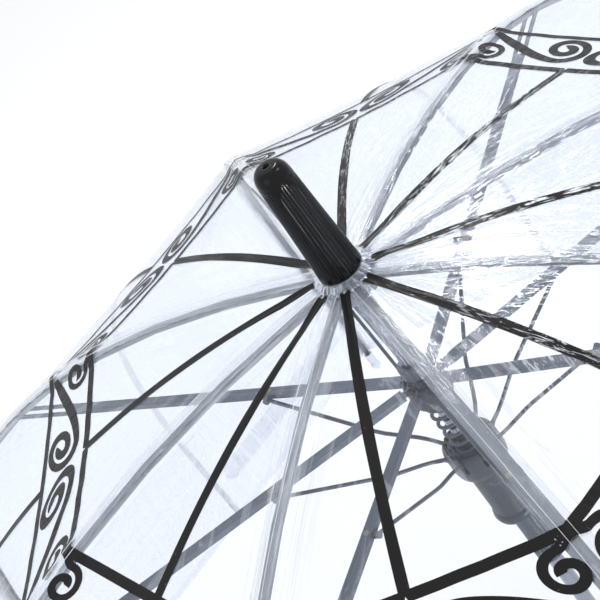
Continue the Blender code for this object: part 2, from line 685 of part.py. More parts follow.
def make_wire():
    """Round wire from a flat eye on the runner's ring to a flattened end beside the stretcher."""
    side = WIRE_OFFSET
    points = [(0.0050, 0, 0), (0.0100, 0, 0), (0.0150, 0.0006, 0), (0.0300, side - 0.0004, 0)]
    points += [(0.0350, side, 0), (WIRE_LENGTH - 0.004, side, 0), (WIRE_LENGTH + 0.0004, side, 0)]
    body = tube_along("wire", points, WIRE_R, 6)
    tongue = plate("tongue", eye(
        0, 0, (0.0016, -0.0026), (0.0016, 0.0026),
        [(0.0040, -0.00075), (0.0080, -0.00075), (0.0080, 0.00075), (0.0040, 0.00075)],
    ), TONGUE / 2, (0, 0, EYE_HOLE))
    body = combine(body, tongue, "UNION")
    head = rod("head", (WIRE_LENGTH, side - 0.00085, 0), (WIRE_LENGTH, side + 0.0019, 0), 0.0017, 8)
    body = combine(body, head, "UNION")
    body.data.transform(Matrix.Translation((wx, 0, wz)) @ Matrix.Rotation(-WIRE_TILT, 4, "Y"))
    return body


def make_strap():
    """A flat band along the hem on the outside of one half panel."""
    bm = bmesh.new()
    rows = []
    for s in (HEM - 0.046, HEM - 0.028):
        r = dome(s)[0] * math.sin(math.radians(STEP / 2))
        rows.append([
            bm.verts.new(film_point(s + (0.004 if s < HEM - 0.04 else -0.004) * (y > 0.150), y / r, 0.0010))
            for y in (0.012, 0.030, 0.050, 0.070, 0.090, 0.110, 0.130, 0.148, 0.153)
        ])
    for i in range(len(rows[0]) - 1):
        bm.faces.new((rows[0][i], rows[1][i], rows[1][i + 1], rows[0][i + 1]))
    obj = finish(bm, "strap")
    mod = obj.modifiers.new("thickness", "SOLIDIFY")
    mod.thickness, mod.offset, mod.use_even_offset = 0.0007, 0.0, True
    return obj


def make_snap():
    s = HEM - 0.037
    r = dome(s)[0] * math.sin(math.radians(STEP / 2))
    low, high = film_point(s, 0.138 / r, 0.0017), film_point(s, 0.138 / r, 0.0034)
    return rod("snap", low, high, 0.0052, 20)


patterns = {
    "rib": make_rib(), "film": make_film(), "tip": make_tip(),
    "stretcher": make_stretcher(), "wire": make_wire(),
}
for k in range(RIBS):
    n, turn = k + 1, STEP * k
    spin = Matrix.Rotation(math.radians(turn), 3, "Z")
    lift = Vector((0, 0, APEX))
    rib_axis = empty(f"axis_rib_{n}", lift + spin @ Vector((px, 0, pz)), turn)
    stretcher_axis = empty(f"axis_stretcher_{n}", lift + spin @ Vector((hx, 0, hz)), turn)
    wire_axis = empty(f"axis_wire_{n}", lift + spin @ Vector((wx, 0, wz)), turn)
    rib_at, hub_at, run_at = (px, 0, pz), (hx, 0, hz), (wx, 0, wz)
    place(copy_of(patterns["rib"], "c"), f"rib_{n}", rib_axis, rib_at, material(*GREY), False)
    place(copy_of(patterns["tip"], "c"), f"rib_tip_{n}", rib_axis, rib_at, material(*TIP))
    place(copy_of(patterns["film"], "c"), f"canopy_{n}", rib_axis, rib_at, film_look.copy())
    stretcher = copy_of(patterns["stretcher"], "c")
    place(stretcher, f"stretcher_{n}", stretcher_axis, hub_at, material(*STEEL), False)
    place(copy_of(patterns["wire"], "c"), f"wire_{n}", wire_axis, run_at, material(*CHROME))
    if n == 3:
        place(make_strap(), "strap", rib_axis, rib_at, material("strap", (0.88, 0.91, 0.95), 0.1, 0, 0.4))
        place(make_snap(), "strap_snap", rib_axis, rib_at, material("snap", (0.02, 0.02, 0.02), 0.2))
for p in patterns.values():
    bpy.data.objects.remove(p, do_unlink=True)
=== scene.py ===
"""Looks of the clear bubble umbrella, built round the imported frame."""

import json
import math

import bmesh
import bpy
import numpy as np
from mathutils import Matrix, Vector


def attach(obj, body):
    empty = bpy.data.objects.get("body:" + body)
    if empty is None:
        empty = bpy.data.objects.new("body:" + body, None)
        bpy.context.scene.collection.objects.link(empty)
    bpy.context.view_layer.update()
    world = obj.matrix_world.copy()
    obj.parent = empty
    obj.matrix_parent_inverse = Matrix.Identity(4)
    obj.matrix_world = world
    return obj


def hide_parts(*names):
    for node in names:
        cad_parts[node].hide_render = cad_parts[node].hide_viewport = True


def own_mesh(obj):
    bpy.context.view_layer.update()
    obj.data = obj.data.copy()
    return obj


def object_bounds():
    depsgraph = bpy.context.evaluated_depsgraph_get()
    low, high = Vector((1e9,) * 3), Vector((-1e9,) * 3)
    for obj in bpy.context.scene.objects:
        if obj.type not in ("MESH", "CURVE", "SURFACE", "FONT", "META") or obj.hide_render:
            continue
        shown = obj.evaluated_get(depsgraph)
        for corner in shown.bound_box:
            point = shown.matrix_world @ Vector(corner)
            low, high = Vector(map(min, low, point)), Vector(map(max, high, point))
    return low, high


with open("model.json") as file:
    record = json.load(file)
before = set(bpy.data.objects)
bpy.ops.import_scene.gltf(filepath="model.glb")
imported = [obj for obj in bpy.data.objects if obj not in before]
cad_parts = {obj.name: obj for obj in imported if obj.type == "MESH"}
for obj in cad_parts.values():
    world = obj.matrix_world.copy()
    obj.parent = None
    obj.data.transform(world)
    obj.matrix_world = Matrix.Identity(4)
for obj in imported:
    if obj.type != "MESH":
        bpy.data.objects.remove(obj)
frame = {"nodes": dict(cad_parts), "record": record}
CAD_BOX = [list(map(float, c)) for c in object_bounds()]
NODES = frame["nodes"]
RECORD = frame["record"]
BODY_OF = {name: body for body, names in RECORD["behaviour"]["bodies"].items() for name in names}

# ---- sizes the frame was built with, metres; heights are measured from the apex ----
APEX = 0.668
SECTORS = 8
STEP = math.radians(360 / SECTORS)
HALF = STEP / 2
CROWN_R, CROWN_REACH, SHOULDER_R, SKIRT_R = 0.540, 0.290, 0.290, 0.900
CROWN_SLOPE = math.asin(CROWN_REACH / CROWN_R)
SHOULDER_SLOPE, HEM_SLOPE = math.radians(80), math.radians(86)
CROWN_ARC = CROWN_R * CROWN_SLOPE
SHOULDER_ARC = SHOULDER_R * (SHOULDER_SLOPE - CROWN_SLOPE)
HEM = CROWN_ARC + SHOULDER_ARC + SKIRT_R * (HEM_SLOPE - SHOULDER_SLOPE)
FILM_START = 0.0115
SAG = 0.0022
HUB_PIVOT, RIB_JOINT = (0.0080, -0.0718), (0.2460, -0.0625)
RIVET_AT = 0.0755         # the wire's rivet, along the stretcher
SPRING_R, SPRING_WIRE, SPRING_LOW, SPRING_HIGH, SPRING_TURNS = 0.0067, 0.0009, -0.1608, -0.0842, 13.5
BEND, HOOK = -0.7180, 0.0340    # where the grip turns into the crook, and the crook's radius

# ---- sizes of the looks ----
BAND = (0.1663, 0.2065)   # arc lengths of the band's two lines
BAR = 0.0046              # width of the bars down the panels' middles
INNER_LINE, OUTER_LINE = 0.0050, 0.0046
INK_LIFT, INK_CLIMB, CLIMB_HALF = 0.0003, 0.0011, 0.0105    # the print's lift, and its climb over a weld
WELD_LIFT = 0.00045
WELD_ROWS = (-0.0048, -0.0036, -0.0026, -0.0013, 0.0, 0.0013, 0.0026, 0.0036, 0.0048)
LINE_AT, LINE_HALF, LINE_FOOT, LINE_TOP = 0.0022, 0.00013, 0.0017, 0.0020    # a weld's pressed lines
BIG_CURL, SMALL_CURL = (0.0146, 0.0024), (0.0096, 0.0022)    # outer and inner radius of each
CURL_IN, CURL_OFF = 0.0146, 0.0094    # the small curl's centre, from the inner line and from the rib
STRAP_FROM, STRAP_LONG, STRAP_WIDE, STRAP_UP = 0.012, 0.141, 0.018, 0.046    # STRAP_UP is from the hem


def dome(s):
    """(r, z, slope) of the dome's curve at arc length s from the apex."""
    if s <= CROWN_ARC:
        a = s / CROWN_R
        return CROWN_R * math.sin(a), CROWN_R * (math.cos(a) - 1), a
    r, z, _ = dome(CROWN_ARC)
    if s <= CROWN_ARC + SHOULDER_ARC:
        a, b, q = CROWN_SLOPE, CROWN_SLOPE + (s - CROWN_ARC) / SHOULDER_R, SHOULDER_R
    else:
        c = SHOULDER_SLOPE
        r += SHOULDER_R * (math.sin(c) - math.sin(CROWN_SLOPE))
        z += SHOULDER_R * (math.cos(c) - math.cos(CROWN_SLOPE))
        a, b, q = c, c + (s - CROWN_ARC - SHOULDER_ARC) / SKIRT_R, SKIRT_R
    return r + q * (math.sin(b) - math.sin(a)), z + q * (math.cos(b) - math.cos(a)), b


def half_width(s):
    """Width of half a panel at arc length s, from its rib to its middle."""
    return dome(s)[0] * math.sin(HALF)


def crinkle(s, way, u, k):
    """Small radial wrinkles of the film; nothing at the rib or on the middle line, so sectors meet."""
    w = max(half_width(s), 1e-4)
    t = min(abs(u) / w, 1.0)
    hold = math.sin(math.pi * t) ** 0.8 if 0 < t < 1 else 0.0
    ph = k * 1.7 + (0.9 if way > 0 else 2.3)
    near = math.exp(-s / 0.10)
    v = 0.55 * math.sin(18.0 * t + ph + 14 * s) * (0.35 + 1.2 * near)
    v += 0.35 * math.sin(23.0 * t + 2.1 * ph - 21 * s + 2.0 * math.sin(17 * s + ph))
    v += 0.45 * math.sin(16 * s + ph) * math.sin(3.1 * t + ph)
    return 0.00085 * hold * v * min(1.0, s / 0.05) * (0.22 + 0.78 * math.exp(-(s / 0.11) ** 2))


def turned_to(k, p):
    """A point of sector 0 turned to sector k and raised to the apex's height."""
    c, q = math.cos(k * STEP), math.sin(k * STEP)
    return Vector((p[0] * c - p[1] * q, p[0] * q + p[1] * c, p[2] + APEX))


def film(k, s, u, lift=0.0, wrinkled=True):
    """World point of sector k's film: s along the arc, u across from the rib (signed), lift outwards."""
    r, z, a = dome(s)
    way = 1 if u >= 0 else -1
    w = max(r * math.sin(HALF), 1e-6)
    share = min(abs(u) / w, 1.0)
    sag = SAG * (1 - (1 - share) ** 2) * min(1.0, r / 0.15)
    n = Vector((math.sin(a) * math.cos(HALF), way * math.sin(a) * math.sin(HALF), math.cos(a)))
    p = Vector((r - abs(u) * math.sin(HALF), way * abs(u) * math.cos(HALF), z))
    if share < 0.03:    # over the rib the lift follows the ridge
        n = n.lerp(Vector((math.sin(a), 0, math.cos(a))), 1 - share / 0.03).normalized()
    p += n * (lift - sag + (crinkle(s, way, u, k) if wrinkled else 0.0))
    return turned_to(k, p)


# ---- materials ----
def new_material(name):
    m = bpy.data.materials.new(name)
    m.use_nodes = True
    m.node_tree.nodes.clear()
    return m, m.node_tree


def node(nt, kind, **values):
    n = nt.nodes.new(kind)
    for key, v in values.items():
        n.inputs[key.replace("_", " ")].default_value = v
    return n


def ramp(nt, source, stops):
    n = nt.nodes.new("ShaderNodeValToRGB")
    el = n.color_ramp.elements
    while len(el) < len(stops):
        el.new(0.5)
    for e, (at, c) in zip(el, stops):
        e.position = at
        e.color = (*c, 1) if isinstance(c, tuple) else (c, c, c, 1)
    nt.links.new(source, n.inputs[0])
    return n.outputs[0]


def calc(nt, op, *terms):
    n = nt.nodes.new("ShaderNodeMath")
    n.operation = op
    for slot, v in zip(n.inputs, terms):
        if isinstance(v, (int, float)):
            slot.default_value = v
        else:
            nt.links.new(v, slot)
    return n.outputs[0]


def noise(nt, vector, scale, stretch=(1, 1, 1), detail=5.0, rough=0.6, distortion=0.0):
    mp = node(nt, "ShaderNodeMapping")
    mp.inputs["Scale"].default_value = [scale * v for v in stretch]
    nt.links.new(vector, mp.inputs[0])
    t = node(nt, "ShaderNodeTexNoise", Scale=1.0, Detail=detail, Roughness=rough, Distortion=distortion)
    nt.links.new(mp.outputs[0], t.inputs["Vector"])
    return t.outputs[0]


def place_vector(nt, radial):
    """Object coordinates, or (distance from the axis, angle round it, height) for pieces that run
    outwards."""
    co = nt.nodes.new("ShaderNodeTexCoord").outputs["Object"]
    if not radial:
        return co
    xyz = nt.nodes.new("ShaderNodeSeparateXYZ")
    nt.links.new(co, xyz.inputs[0])
    x, y = xyz.outputs[0], xyz.outputs[1]
    r = calc(nt, "SQRT", calc(nt, "ADD", calc(nt, "MULTIPLY", x, x), calc(nt, "MULTIPLY", y, y)))
    both = nt.nodes.new("ShaderNodeCombineXYZ")
    nt.links.new(r, both.inputs[0])
    nt.links.new(calc(nt, "ARCTAN2", y, x), both.inputs[1])
    nt.links.new(xyz.outputs[2], both.inputs[2])
    return both.outputs[0]


def spread_range(nt, source, low, high):
    r = nt.nodes.new("ShaderNodeMapRange")
    for key, v in (("From Min", 0.35), ("From Max", 0.65), ("To Min", low), ("To Max", high)):
        r.inputs[key].default_value = v
    nt.links.new(source, r.inputs[0])
    return r.outputs[0]


def surface(name, colour, rough, metallic=0.0, scale=1500, stretch=(1, 1, 1), spread=0.15,
            rough_spread=0.08, bump=0.15, depth=0.00003, specular=0.5, coat=0.0, radial=False, wear_and_glints=None):
    """A Principled material whose colour, roughness and height vary at two scales."""
    m, nt = new_material(name)
    out = nt.nodes.new("ShaderNodeOutputMaterial")
    p = node(nt, "ShaderNodeBsdfPrincipled", Metallic=metallic)
    p.inputs["Specular IOR Level"].default_value = specular
    p.inputs["Coat Weight"].default_value = coat
    p.inputs["Coat Roughness"].default_value = 0.06
    nt.links.new(p.outputs[0], out.inputs[0])
    where = place_vector(nt, radial)
    broad = noise(nt, where, scale * 0.06, stretch)
    fine = noise(nt, where, scale, stretch, rough=0.65)
    low = tuple(c * (1 - spread) for c in colour)
    high = tuple(min(1.0, c * (1 + spread)) for c in colour)
    stops = [(0.32, low), (0.68, high)]
    if wear_and_glints:
        stops += [(0.76, high), (0.86, wear_and_glints)]
    nt.links.new(ramp(nt, broad, stops), p.inputs["Base Color"])
    mixed = calc(nt, "MULTIPLY_ADD", fine, 0.6, calc(nt, "MULTIPLY", broad, 0.4))
    uneven = spread_range(nt, mixed, max(0.03, rough - rough_spread), rough + rough_spread)
    nt.links.new(uneven, p.inputs["Roughness"])
    b = node(nt, "ShaderNodeBump", Strength=bump, Distance=depth)
    nt.links.new(fine, b.inputs["Height"])
    nt.links.new(b.outputs[0], p.inputs["Normal"])
    return m


def painted_glare(nt, where, scale, low, high):
    """Painted highlight: broken white patches placed where the crumpled crown film faces the bright side,
    set by the piece's position, 0 to 1.
    """
    co = nt.nodes.new("ShaderNodeTexCoord").outputs["Object"]
    xyz = nt.nodes.new("ShaderNodeSeparateXYZ")
    nt.links.new(co, xyz.inputs[0])
    along = nt.nodes.new("ShaderNodeSeparateXYZ")
    nt.links.new(where, along.inputs[0])
    side = nt.nodes.new("ShaderNodeClamp")
    nt.links.new(calc(nt, "MULTIPLY_ADD", xyz.outputs[0], 16.0, 0.05), side.inputs[0])
    near = nt.nodes.new("ShaderNodeClamp")
    nt.links.new(calc(nt, "MULTIPLY_ADD", along.outputs[0], -11.0, 2.3), near.inputs[0])
    patches = ramp(nt, noise(nt, where, 1.0, scale, 6.0, 0.68, 1.8), [(low, 0.0), (high, 1.0)])
    return calc(nt, "MULTIPLY", calc(nt, "MULTIPLY", side.outputs[0], near.outputs[0]), patches)


def film_material(name, haze, streaks, tint, body, mirror=0.5, gloss=0.10, relief=0.5, flap=0.0,
                  edge=0.75):
    """Clear film: see-through with a faint blue cast, milky creases that run along the ribs, and gloss that
    grows towards grazing angles. The film attribute holds (along, across, sector)."""
    m, nt = new_material(name)
    out = nt.nodes.new("ShaderNodeOutputMaterial")
    clear = node(nt, "ShaderNodeBsdfTransparent")
    clear.inputs[0].default_value = (*tint, 1)
    p = node(nt, "ShaderNodeBsdfPrincipled", Metallic=mirror, Roughness=gloss)
    p.inputs["Base Color"].default_value = (*body, 1)
    at = nt.nodes.new("ShaderNodeAttribute")
    at.attribute_name = "film"
    where = at.outputs["Vector"]
    creases = noise(nt, where, 1.0, (9.0, 150.0, 1.0), 6.0, 0.62, 0.6)
    crumple = noise(nt, where, 1.0, (60.0, 110.0, 1.0), 5.0, 0.6, 1.4)
    fine = noise(nt, where, 1.0, (160.0, 420.0, 1.0), 4.0, 0.6, 1.0)
    long = ramp(nt, creases, [(0.545, 0.0), (0.60, 0.35), (0.66, 0.2), (0.74, 1.0)])
    short = ramp(nt, crumple, [(0.62, 0.0), (0.74, 0.6)])
    milky = calc(nt, "MULTIPLY_ADD", calc(nt, "MAXIMUM", long, short), streaks, haze)
    if flap:    # the loose edge of the weld: a milky band beside the rib
        xyz = nt.nodes.new("ShaderNodeSeparateXYZ")
        nt.links.new(where, xyz.inputs[0])
        beside = ramp(nt, calc(nt, "MULTIPLY_ADD", xyz.outputs[1], 40.0, 0.5), [
            (0.34, 0.0), (0.40, 0.2), (0.62, 0.2), (0.72, 0.5), (0.88, 0.9), (0.93, 0.0)])
        milky = calc(nt, "MULTIPLY_ADD", calc(nt, "MULTIPLY", beside, creases), flap, milky)
        # thin dark creases that fan out beside the weld
        folds = noise(nt, where, 1.0, (5.0, 210.0, 1.0), 3.0, 0.5, 0.5)
        thin = ramp(nt, folds, [(0.475, 0.0), (0.495, 1.0), (0.515, 0.0)])
        across = calc(nt, "MULTIPLY_ADD", xyz.outputs[1], 12.0, 0.5)
        fan = ramp(nt, across, [(0.30, 0.0), (0.5, 0.75), (0.78, 0.0)])
        dark = ramp(nt, calc(nt, "MULTIPLY", thin, fan), [(0.0, tint), (1.0, (0.50, 0.53, 0.58))])
        nt.links.new(dark, clear.inputs[0])
    height = calc(nt, "MULTIPLY_ADD", crumple, 0.6, creases)
    height = calc(nt, "MULTIPLY_ADD", fine, 0.25, height)
    bump = node(nt, "ShaderNodeBump", Strength=relief, Distance=0.0014)
    nt.links.new(height, bump.inputs["Height"])
    nt.links.new(bump.outputs[0], p.inputs["Normal"])
    facing = node(nt, "ShaderNodeFresnel", IOR=1.45)
    nt.links.new(bump.outputs[0], facing.inputs["Normal"])
    cover = calc(nt, "MULTIPLY_ADD", facing.outputs[0], edge, milky)
    # painted highlight: the glare patches make the film opaque white on the crown's bright side
    bright = painted_glare(nt, where, (70.0, 330.0, 1.0), 0.53, 0.57)
    cover = calc(nt, "MAXIMUM", cover, calc(nt, "MULTIPLY", bright, 0.9))
    cover = calc(nt, "MINIMUM", cover, 0.92)
    mix = nt.nodes.new("ShaderNodeMixShader")
    nt.links.new(cover, mix.inputs[0])
    nt.links.new(clear.outputs[0], mix.inputs[1])
    nt.links.new(p.outputs[0], mix.inputs[2])
    nt.links.new(mix.outputs[0], out.inputs[0])
    return m


def ink_material(name):
    """Black print on the film, with painted highlights: small broken white patches on the peaks of its
    crumples and creases, and on the crown's bright side.
    """
    m, nt = new_material(name)
    out = nt.nodes.new("ShaderNodeOutputMaterial")
    p = node(nt, "ShaderNodeBsdfPrincipled", Metallic=0.0)
    p.inputs["Specular IOR Level"].default_value = 0.10
    p.inputs["Coat Weight"].default_value = 0.06
    p.inputs["Coat Roughness"].default_value = 0.08
    at = nt.nodes.new("ShaderNodeAttribute")
    at.attribute_name = "film"
    where = at.outputs["Vector"]
    crumple = noise(nt, where, 1.0, (210.0, 420.0, 1.0), 5.0, 0.62, 1.6)
    creases = noise(nt, where, 1.0, (45.0, 380.0, 1.0), 5.0, 0.6, 0.8)
    # painted highlights: where the crumples and creases peak, the print is painted white as glints
    wear_and_glints = ramp(nt, calc(nt, "MAXIMUM", crumple, creases), [(0.70, 0.0), (0.74, 0.7)])
    painted_glints = calc(nt, "MAXIMUM", wear_and_glints, painted_glare(nt, where, (75.0, 620.0, 1.0), 0.55, 0.575))
    # the tone runs from the black print to the painted white of the glints
    tone = ramp(nt, painted_glints, [(0.0, (0.012, 0.011, 0.011)), (0.25, (0.022, 0.021, 0.021)),
                           (0.6, (0.42, 0.44, 0.47)), (1.0, (0.92, 0.94, 0.97))])
    nt.links.new(tone, p.inputs["Base Color"])
    nt.links.new(spread_range(nt, creases, 0.30, 0.55), p.inputs["Roughness"])
    height = calc(nt, "MULTIPLY_ADD", crumple, 0.6, creases)
    bump = node(nt, "ShaderNodeBump", Strength=0.35, Distance=0.0006)
    nt.links.new(height, bump.inputs["Height"])
    nt.links.new(bump.outputs[0], p.inputs["Normal"])
    nt.links.new(p.outputs[0], out.inputs[0])
    return m


FILM = film_material("film_clear", 0.03, 0.42, (0.905, 0.925, 0.960), (0.90, 0.93, 0.98),
                     relief=0.45, flap=0.4)
SEAM = film_material("film_weld", 0.10, 0.60, (0.92, 0.93, 0.95), (0.84, 0.87, 0.91),
                     gloss=0.08, relief=0.7, edge=2.4)
# the weld's pressed lines get a milky white body: partly the frosted seal, partly a painted highlight along
# the weld
LINE = film_material("weld_line", 0.6, 0.35, (0.95, 0.96, 0.98), (0.92, 0.94, 0.97),
                     mirror=0.2, gloss=0.15)
SOFT = film_material("soft_collar", 0.12, 0.70, (0.72, 0.75, 0.81), (0.72, 0.76, 0.82),
                     gloss=0.07, relief=0.9)
INK = ink_material("print_black")
GLOSS = surface("moulded_gloss", (0.0035, 0.0034, 0.0038), 0.13, scale=700, stretch=(1, 1, 0.10),
                spread=0.4, rough_spread=0.05, bump=0.2, depth=0.00004, specular=0.20)
BLACK = surface("moulded_black", (0.010, 0.010, 0.011), 0.24, scale=900,
                spread=0.3, rough_spread=0.07, bump=0.15, specular=0.35, coat=0.2)
MILKY = surface("milky_nylon", (0.66, 0.69, 0.73), 0.40, scale=600, spread=0.07, bump=0.1)
PALE = surface("notch_nylon", (0.42, 0.46, 0.52), 0.42, scale=600, spread=0.12, bump=0.15)
CHROME = surface("chrome_plate", (0.30, 0.32, 0.37), 0.16, 1.0, scale=700, stretch=(1, 1, 0.06),
                 spread=0.10, rough_spread=0.07, bump=0.1)
WIRE = surface("wire_steel", (0.10, 0.11, 0.13), 0.36, 0.7, scale=700,
               spread=0.2, rough_spread=0.12, bump=0.15)
STEEL = surface("blue_steel", (0.115, 0.128, 0.158), 0.36, 0.6, scale=220, stretch=(0.3, 9.0, 1.0),
                spread=0.28, rough_spread=0.12, bump=0.2, radial=True, wear_and_glints=(0.22, 0.24, 0.28))
RIB = surface("rib_plate", (0.24, 0.25, 0.275), 0.34, 0.6, scale=220, stretch=(0.3, 9.0, 1.0),
              spread=0.20, rough_spread=0.1, bump=0.2, radial=True)
HUB = surface("hub_nylon", (0.022, 0.027, 0.040), 0.42, scale=500, spread=0.25, bump=0.12)
RUNNER = surface("runner_plastic", (0.026, 0.032, 0.047), 0.36, scale=420,
                 spread=0.22, rough_spread=0.05, bump=0.08, specular=0.4)
SLEEVE = surface("sleeve_plastic", (0.040, 0.050, 0.070), 0.38, scale=420,
                 spread=0.2, rough_spread=0.05, bump=0.08)
BRASS = surface("rivet_brass", (0.30, 0.245, 0.18), 0.38, 0.8, scale=900, spread=0.3, bump=0.15)
BUTTON = surface("button_satin", (0.50, 0.51, 0.54), 0.30, 0.2, scale=900, spread=0.08, bump=0.1)


# ---- meshes ----
def piece(name, verts, faces, look, body, film_at=None, smooth=True):
    """A mesh piece that rides on a body; film_at gives each point's place on the film."""
    me = bpy.data.meshes.new(name)
    me.from_pydata([tuple(v) for v in verts], [], faces)
    for one in look if isinstance(look, (list, tuple)) else [look]:
        me.materials.append(one)
    if film_at is not None:
        a = me.attributes.new("film", "FLOAT_VECTOR", "POINT")
        a.data.foreach_set("vector", np.array(film_at, np.float32).reshape(-1))
    if smooth:
        me.shade_smooth()
    me.update()
    o = bpy.data.objects.new(name, me)
    bpy.context.scene.collection.objects.link(o)
    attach(o, body)
    return o


def turned(name, profile, look, node_name, sides=72, wave=None, film_like=False):
    """A (radius, height) outline turned round the shaft, open at both ends unless it reaches the axis; wave
    changes the radius and height at (angle, row). It replaces the CAD node of that name."""
    verts, faces, at = [], [], []
    for row, (r, z) in enumerate(profile):
        for i in range(sides):
            a = 2 * math.pi * i / sides
            dr, dz = wave(a, r, z) if wave else (0.0, 0.0)
            verts.append(((r + dr) * math.cos(a), (r + dr) * math.sin(a), APEX + z + dz))
            at.append((r, a * 0.012, 9.0))
    for row in range(len(profile) - 1):
        for i in range(sides):
            j = (i + 1) % sides
            q, w = row * sides, (row + 1) * sides
            faces.append((q + i, q + j, w + j, w + i))
    if profile[0][0] > 0.0001:
        faces.append(tuple(range(sides))[::-1])
    if profile[-1][0] > 0.0001:
        faces.append(tuple((len(profile) - 1) * sides + i for i in range(sides)))
    o = piece(name, verts, faces, look, BODY_OF[node_name], at if film_like else None)
    o.data.set_sharp_from_angle(angle=math.radians(48))
    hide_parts(node_name)
    return o


def refined(name, look, width=0.0002, angle=34, segments=2):
    """The CAD node's shape with merged faces, soft edges and smooth shading, in place of the node."""
    bm = bmesh.new()
    bm.from_mesh(NODES[name].data)
    bmesh.ops.remove_doubles(bm, verts=bm.verts, dist=2e-6)
    bmesh.ops.dissolve_limit(bm, angle_limit=math.radians(0.8), verts=bm.verts, edges=bm.edges)
    me = bpy.data.meshes.new(name + "_fine")
    bm.to_mesh(me)
    bm.free()
    me.materials.append(look)
    me.shade_smooth()
    me.set_sharp_from_angle(angle=math.radians(angle))
    o = bpy.data.objects.new(name + "_fine", me)
    bpy.context.scene.collection.objects.link(o)
    if width:
        mod = o.modifiers.new("soft_edges", "BEVEL")
        mod.width, mod.segments, mod.limit_method = width, segments, "ANGLE"
        mod.angle_limit = math.radians(angle)
        mod.harden_normals = True
    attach(o, BODY_OF[name])
    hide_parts(name)
    return o


def tube(name, points, radius, look, body, sides=10, caps=True):
    """A round section along points, carried without twist."""
    verts, faces = [], []
    side = None
    for i, p in enumerate(points):
        t = (points[min(i + 1, len(points) - 1)] - points[max(i - 1, 0)]).normalized()
        side = t.orthogonal() if side is None else side
        side = (side - t * side.dot(t)).normalized()
        over = t.cross(side)
        r = radius(i) if callable(radius) else radius
        for b in (2 * math.pi * n / sides for n in range(sides)):
            verts.append(p + side * r * math.cos(b) + over * r * math.sin(b))
    for i in range(len(points) - 1):
        for n in range(sides):
            q, m = i * sides, (n + 1) % sides
            faces.append((q + n, q + m, q + sides + m, q + sides + n))
    if caps:
        faces.append(tuple(range(sides))[::-1])
        faces.append(tuple((len(points) - 1) * sides + n for n in range(sides)))
    return piece(name, verts, faces, look, body)


def draw_in(o):
    """Gives the piece its own copy of its mesh."""
    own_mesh(o)


# ---- the print, drawn as strokes of (along, across) points ----
def ink_lift(u):
    """The print lies on the film, and climbs over the weld along the rib."""
    return INK_LIFT + INK_CLIMB * max(0.0, 1 - (abs(u) / CLIMB_HALF) ** 2)


def ribbon(pts, widths, k, verts, faces, co):
    """A flat stroke through (s, u) points of sector k, three points wide, appended to a mesh."""
    n, first = len(pts), len(verts)
    for i, (s, u) in enumerate(pts):
        a, b = pts[max(i - 1, 0)], pts[min(i + 1, n - 1)]
        ds, du = b[0] - a[0], b[1] - a[1]
        ln = math.hypot(ds, du) or 1e-9
        w = (widths[i] if isinstance(widths, (list, tuple)) else widths) / 2
        sign = 1 if u >= 0 else -1
        for side in (-1, 0, 1):
            ps = max(s - du / ln * w * side, FILM_START)
            pu = sign * min(max((u + ds / ln * w * side) * sign, 1e-9), half_width(ps))
            verts.append(film(k, ps, pu, ink_lift(pu)))
            # the crumples run unbroken across the middle line, from panel to panel
            panel = (k if sign > 0 else k - 1) % SECTORS
            co.append((ps, -sign * (half_width(ps) - abs(pu)), 3.0 * panel))
    for i in range(n - 1):
        for j in (0, 1):
            q = first + 3 * i + j
            faces.append((q, q + 1, q + 4, q + 3))


def spiral(cs, cu, r0, r1, start, turns, n, w0, w1):
    """Points and widths of a spiral round (cs, cu), from radius r0 to r1; a positive turn goes from s
    to u."""
    pts, ws = [], []
    for i in range(n + 1):
        t = i / n
        a = start + 2 * math.pi * turns * t
        r = r0 + (r1 - r0) * t ** 0.9
        pts.append((cs + r * math.cos(a), cu + r * math.sin(a)))
        ws.append(w0 + (w1 - w0) * t)
    return pts, ws


def smooth_run(start, end, leave, arrive, n):
    """Points of a smooth curve from start to end with the given end directions."""
    pts = []
    for t in (i / n for i in range(n + 1)):
        a, b, c, d = 2 * t**3 - 3 * t * t + 1, t**3 - 2 * t * t + t, 3 * t * t - 2 * t**3, t**3 - t * t
        pts.append(tuple(a * p + b * q + c * e + d * f for p, q, e, f in zip(start, leave, end, arrive)))
    return pts


def scroll(sign):
    """One half panel's ornament: a large curl by the middle line, a wave across the band to the rib, and a
    small curl that springs from the inner line at the rib."""
    low, high = BAND
    middle = (low + high) / 2
    cs, cu = middle + 0.0042, half_width(middle + 0.004) - 0.0168
    pts, ws = spiral(cs, cu, *BIG_CURL, math.radians(180), -1.55, 52, 0.0050, 0.0058)
    pts, ws = pts[::-1], ws[::-1]
    # the wave leaves the curl on the band's inner side and ends on its outer side at the rib
    start, end = pts[-1], (high - 0.0052, 0.0050)
    leave, arrive = (0.0, -0.052), (0.004, -0.022)
    pts += smooth_run(start, end, leave, arrive, 24)[1:]
    ws += [0.0050 + 0.0020 * math.sin(math.pi * i / 24) for i in range(1, 25)]
    curl, cw = spiral(low + CURL_IN, CURL_OFF, *SMALL_CURL, math.radians(190), -1.25, 48, 0.0038, 0.0044)
    lead = smooth_run((low + 0.0012, 0.0), curl[0], (0.002, 0.008), (-0.001, 0.006), 8)
    strokes = [(pts, ws), (lead[:-1] + curl, [0.0040] * 8 + cw)]
    return [([(s, u * sign) for s, u in p], w) for p, w in strokes]


